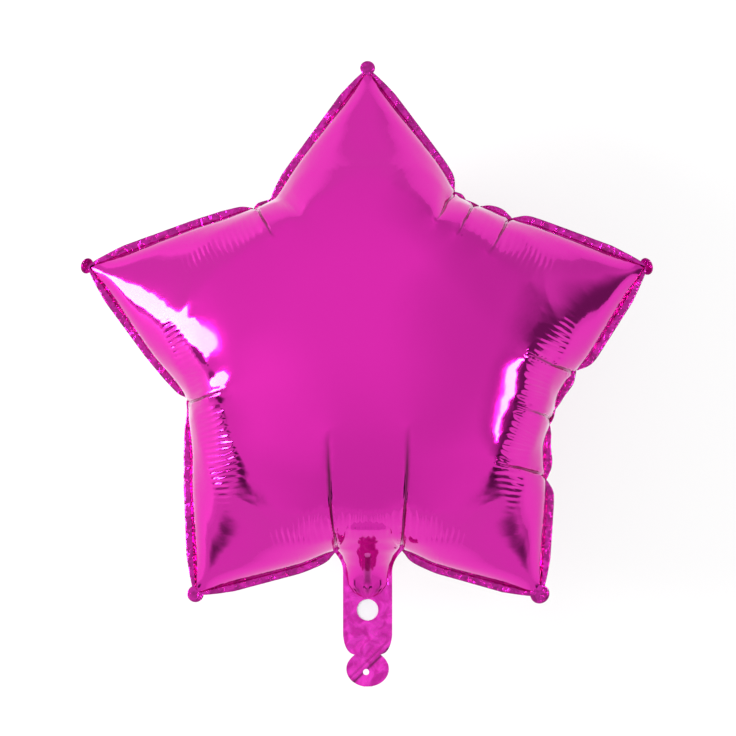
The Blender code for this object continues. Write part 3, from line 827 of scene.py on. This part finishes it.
u = np.linspace(-1, 1, 61)
fold_wave = np.cos(u * math.pi * throat_folds)
throat_places = np.concatenate([np.arange(-0.086, -0.112, -0.0013), np.arange(-0.112, throat_end_y, -0.0008)])
throat = []
throat_fold_shade = []
for y in throat_places:
    half = throat_half * min(1, np.interp(y, throat_narrows, throat_shares))
    run = throat_leaves[0] - throat_lies[0]
    t = np.clip((throat_leaves[0] - y) / run, 0, 1)
    ramp = (2 * t ** 3 - 3 * t ** 2 + 1) * throat_leaves[1] + (3 * t ** 2 - 2 * t ** 3) * throat_lies[1]
    ramp += run * ((t ** 3 - 2 * t ** 2 + t) * throat_slopes[0] + (t ** 3 - t ** 2) * throat_slopes[1])
    ramp = (ramp - max(0, throat_lies[0] - y) * 0.25) * np.clip((y - throat_end_y) / 0.007, 0, 1) ** 0.6
    ramp *= 1 + 0.22 * fold_wave * np.clip((-0.160 - y) / 0.010, 0, 1)
    lens = np.clip(1 - np.abs(u) ** (3.6 - 1.4 * t), 0, 1) ** 0.6
    wall = np.array([bag_height(half * across, y) for across in u])
    bulge = ramp * lens
    near = np.clip(throat_ease - np.abs(wall - bulge), 0, None) / throat_ease
    z = np.maximum(wall, bulge) + near ** 2 * throat_ease / 4
    z -= 0.0016 * np.clip((wall - bulge - throat_ease / 2) / throat_ease, 0, 1)
    # Painted reflection: a dark stripe down the throat's middle, where the sheet is also pressed in a little,
    # and painted shade in the pointed folds at its end. Both darken the foil's colour.
    stripe = np.exp(-(u * half / 0.0026) ** 4)
    stripe *= np.clip((stripe_from - y) / 0.004, 0, 1)
    stripe *= np.clip((y - stripe_to) / 0.004, 0, 1)
    end_fold_shade = 0.6 * math.exp(-((y - end_fold_shade_y) / 0.0022) ** 2) * (0.55 + 0.45 * fold_wave)
    throat_fold_shade.append(np.maximum(0.6 * stripe, end_fold_shade))
    z -= 0.0014 * stripe
    for corner in (-1, 1):
        away = np.hypot(u * half - corner * 0.0235, y + 0.141)
        turn = np.arctan2(y + 0.141, (corner * 0.0235 - u * half) * corner)
        z -= 0.0011 * np.exp(-away / 0.007) * np.abs(np.cos(5.5 * turn)) ** 5
    throat.append(np.column_stack([half * u, np.full(len(u), y), z.clip(0)]))
throat = np.array(throat)
rows_down, throat_columns = throat.shape[:2]
front = throat.reshape(-1, 3) + np.array((0, 0, seam_height))
rear = throat.reshape(-1, 3) * np.array((1, 1, -1)) + np.array((0, 0, seam_height))
total = len(front)
faces = []
for i in range(rows_down - 1):
    for j in range(throat_columns - 1):
        k = i * throat_columns + j
        faces.append((k, k + throat_columns, k + throat_columns + 1, k + 1))
        faces.append((total + k, total + k + 1, total + k + throat_columns + 1, total + k + throat_columns))
border = list(range(throat_columns))
border += [i * throat_columns + throat_columns - 1 for i in range(1, rows_down)]
border += [(rows_down - 1) * throat_columns + j for j in range(throat_columns - 2, -1, -1)]
border += [i * throat_columns for i in range(rows_down - 2, 0, -1)]
for a, b in zip(border, border[1:] + border[:1]):
    faces.append((a, b, total + b, total + a))
throat_mesh = bpy.data.meshes.new("neck_throat")
throat_mesh.from_pydata(np.concatenate([front, rear]).tolist(), [], faces)
# The throat's painted reflection stripe and painted fold shade, as a point attribute that the foil reads.
throat_fold_shade_values = throat_mesh.attributes.new("fold_shade", "FLOAT", "POINT")
throat_fold_shade_values.data.foreach_set("value", np.tile(np.ravel(throat_fold_shade), 2))
maker = bmesh.new()
maker.from_mesh(throat_mesh)
bmesh.ops.remove_doubles(maker, verts=maker.verts, dist=1e-6)
bmesh.ops.recalc_face_normals(maker, faces=maker.faces)
maker.to_mesh(throat_mesh)
maker.free()
throat_mesh.shade_smooth()
throat_mesh.set_sharp_from_angle(angle=math.radians(60))
neck_throat = bpy.data.objects.new("neck_throat", throat_mesh)
bpy.context.scene.collection.objects.link(neck_throat)
throat_mesh.materials.append(foil)
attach(neck_throat, "root")
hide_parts("foil_envelope")

# Valve film: a tongue of clear film, two plies welded at their edges, that lies between the sheets of the
# neck and shuts by the gas's own pressure. Through the filling hole it shows as a pale disc.
film_low, film_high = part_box("valve_film")
tongue_step = 0.0015
left_side = [(film_low.x + 0.003, film_high.y), (film_low.x, film_high.y - 0.003),
             (film_low.x, film_low.y + 0.008), (film_low.x + 0.002, film_low.y + 0.003),
             (film_low.x + 0.006, film_low.y)]
right_side = [(film_high.x + film_low.x - x, y) for x, y in reversed(left_side)]
tongue_edge = divided(np.array(left_side + right_side), tongue_step)
grid = np.meshgrid(np.arange(-0.014, 0.014, tongue_step), np.arange(film_low.y, film_high.y, tongue_step))
grid = np.stack(grid, -1).reshape(-1, 2)
grid = grid[inside(tongue_edge, grid)]
grid_gap, _ = to_outline(tongue_edge, grid)
tongue_flat, tongue_triangles = triangulated(tongue_edge, grid[grid_gap > 0.0009])
cockle = 0.00004 * np.sin(tongue_flat[:, 0] / 0.0017) * np.sin(tongue_flat[:, 1] / 0.0023)
upper = np.column_stack([tongue_flat, film_high.z + cockle])
lower = np.column_stack([tongue_flat, film_low.z + cockle])
count = len(tongue_flat)
edge_count = len(tongue_edge)
walls = []
for i in range(edge_count):
    j = (i + 1) % edge_count
    walls += [(j, i, count + i), (j, count + i, count + j)]
tongue_mesh = bpy.data.meshes.new("valve_tongue")
tongue_faces = tongue_triangles.tolist() + (tongue_triangles[:, ::-1] + count).tolist() + walls
tongue_mesh.from_pydata(np.concatenate([upper, lower]).tolist(), [], tongue_faces)
tongue_mesh.shade_smooth()
valve_tongue = bpy.data.objects.new("valve_tongue", tongue_mesh)
bpy.context.scene.collection.objects.link(valve_tongue)
clear_film = bpy.data.materials.new("clear film")
clear_film.use_nodes = True
clear_shader = clear_film.node_tree.nodes["Principled BSDF"]
clear_shader.inputs["Base Color"].default_value = (0.63, 0.63, 0.65, 1)
clear_shader.inputs["Roughness"].default_value = 0.28
tongue_mesh.materials.append(clear_film)
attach(valve_tongue, "root")
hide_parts("valve_film")

# Floor: a wide pale table top that the balloon lies on. It looks white to the camera, and it still takes the
# balloon's shadow and mirrors in the film.
floor_half = 25
floor_drop = 0.0005
white_share = 0.76
floor_turns = ((-1, -1), (1, -1), (1, 1), (-1, 1))
floor_corners = [(x * floor_half, y * floor_half, -floor_drop) for x, y in floor_turns]
floor_mesh = bpy.data.meshes.new("floor")
floor_mesh.from_pydata(floor_corners, [], [(0, 1, 2, 3)])
floor = bpy.data.objects.new("floor", floor_mesh)
bpy.context.scene.collection.objects.link(floor)
pale = bpy.data.materials.new("pale floor")
pale.use_nodes = True
nodes = pale.node_tree.nodes
links = pale.node_tree.links
nodes["Principled BSDF"].inputs["Base Color"].default_value = (0.86, 0.86, 0.86, 1)
nodes["Principled BSDF"].inputs["Roughness"].default_value = 0.9
seen_from = nodes.new("ShaderNodeLightPath")
seen_or_mirrored = nodes.new("ShaderNodeMath")
seen_or_mirrored.operation = "MAXIMUM"
links.new(seen_from.outputs["Is Camera Ray"], seen_or_mirrored.inputs[0])
links.new(seen_from.outputs["Is Glossy Ray"], seen_or_mirrored.inputs[1])
see_through = nodes.new("ShaderNodeMath")
see_through.operation = "MAXIMUM"
links.new(seen_or_mirrored.outputs[0], see_through.inputs[0])
links.new(seen_from.outputs["Is Transmission Ray"], see_through.inputs[1])
share_lit = nodes.new("ShaderNodeMath")
share_lit.operation = "MULTIPLY"
share_lit.inputs[1].default_value = white_share
links.new(see_through.outputs[0], share_lit.inputs[0])
glow = nodes.new("ShaderNodeEmission")
blend_white = nodes.new("ShaderNodeMixShader")
links.new(share_lit.outputs[0], blend_white.inputs[0])
links.new(nodes["Principled BSDF"].outputs[0], blend_white.inputs[1])
links.new(glow.outputs[0], blend_white.inputs[2])
links.new(blend_white.outputs[0], nodes["Material Output"].inputs["Surface"])
floor_mesh.materials.append(pale)

# Studio light: pale and even from all round, with soft dark flags that give the film something to mirror,
# and two oval softboxes, a large one on the left and a small one on the right.
world = bpy.data.worlds.new("studio")
world.use_nodes = True
world_tree = world.node_tree
background = world_tree.nodes["Background"]
way = world_tree.nodes.new("ShaderNodeTexCoord").outputs["Generated"]
height = world_tree.nodes.new("ShaderNodeSeparateXYZ")
world_tree.links.new(way, height.inputs[0])
by_height = world_tree.nodes.new("ShaderNodeValToRGB")
by_height.color_ramp.elements[0].color = (0.84, 0.84, 0.84, 1)
by_height.color_ramp.elements[1].position = 0.9
by_height.color_ramp.elements[1].color = (0.97, 0.97, 0.97, 1)
world_tree.links.new(height.outputs["Z"], by_height.inputs[0])
world_tree.links.new(by_height.outputs[0], background.inputs["Color"])


def dimmed(level, bearing, elevation, inner, outer, share):
    """The light's level times a share, inside a soft round patch. Its place and its reach are in degrees."""
    lean = world_tree.nodes.new("ShaderNodeVectorMath")
    lean.operation = "DOT_PRODUCT"
    bearing, elevation = math.radians(bearing), math.radians(elevation)
    flat_part = math.cos(elevation)
    towards = (math.cos(bearing) * flat_part, math.sin(bearing) * flat_part, math.sin(elevation))
    lean.inputs[1].default_value = towards
    world_tree.links.new(way, lean.inputs[0])
    spread = world_tree.nodes.new("ShaderNodeMapRange")
    spread.interpolation_type = "SMOOTHSTEP"
    spread.inputs["From Min"].default_value = math.cos(math.radians(outer))
    spread.inputs["From Max"].default_value = math.cos(math.radians(inner))
    spread.inputs["To Min"].default_value = 1
    spread.inputs["To Max"].default_value = share
    world_tree.links.new(lean.outputs["Value"], spread.inputs["Value"])
    times = world_tree.nodes.new("ShaderNodeMath")
    times.operation = "MULTIPLY"
    world_tree.links.new(spread.outputs[0], times.inputs[0])
    if level is None:
        times.inputs[1].default_value = 1
    else:
        world_tree.links.new(level, times.inputs[1])
    return times.outputs[0]


level = dimmed(None, -8, 18, 16, 34, 0.20)
level = dimmed(level, 188, 8, 8, 16, 0.35)
level = dimmed(level, -92, 52, 6, 40, 0.82)
level = dimmed(level, 2, 58, 4, 30, 0.80)
level = dimmed(level, 48, 24, 8, 38, 0.74)
level = dimmed(level, 205, 58, 4, 26, 1.14)
level = dimmed(level, 219, 18, 5, 14, 0.14)
level = dimmed(level, 321, 18, 5, 15, 0.14)
world_tree.links.new(level, background.inputs["Strength"])
bpy.context.scene.world = world


def softbox(name, place, aim, width, height, power):
    """An oval lamp at a place, turned towards what it lights."""
    lamp = bpy.data.lights.new(name, "AREA")
    lamp.shape = "ELLIPSE"
    lamp.size = width
    lamp.size_y = height
    lamp.energy = power
    holder = bpy.data.objects.new(name, lamp)
    holder.location = place
    holder.rotation_euler = (Vector(aim) - Vector(place)).to_track_quat("-Z", "Y").to_euler()
    bpy.context.scene.collection.objects.link(holder)


softbox("left softbox", (-1.75, 0.14, 0.68), (0, 0, 0.1), 0.70, 1.32, 66)
softbox("right softbox", (1.14, -0.20, 0.97), (0, 0, 0.1), 0.54, 0.17, 7)

# Camera: straight above, looking down on the front sheet. In the photograph a pixel is 0.724 mm at the seam,
# and the star's middle lies a little off the picture's.
view_distance = 1.9
picture_side = 736
pixel = 0.000724
star_column, star_row = 367.6, 357
sensor_width = 36
view = bpy.data.cameras.new("camera")
view.sensor_width = sensor_width
view.lens = sensor_width * (view_distance - seam_height) / (picture_side * pixel)
camera = bpy.data.objects.new("camera", view)
picture_middle = picture_side / 2
camera.location = ((picture_middle - star_column) * pixel, (star_row - picture_middle) * pixel, view_distance)
bpy.context.scene.collection.objects.link(camera)
bpy.context.scene.camera = camera
bpy.context.scene.view_settings.view_transform = "Standard"
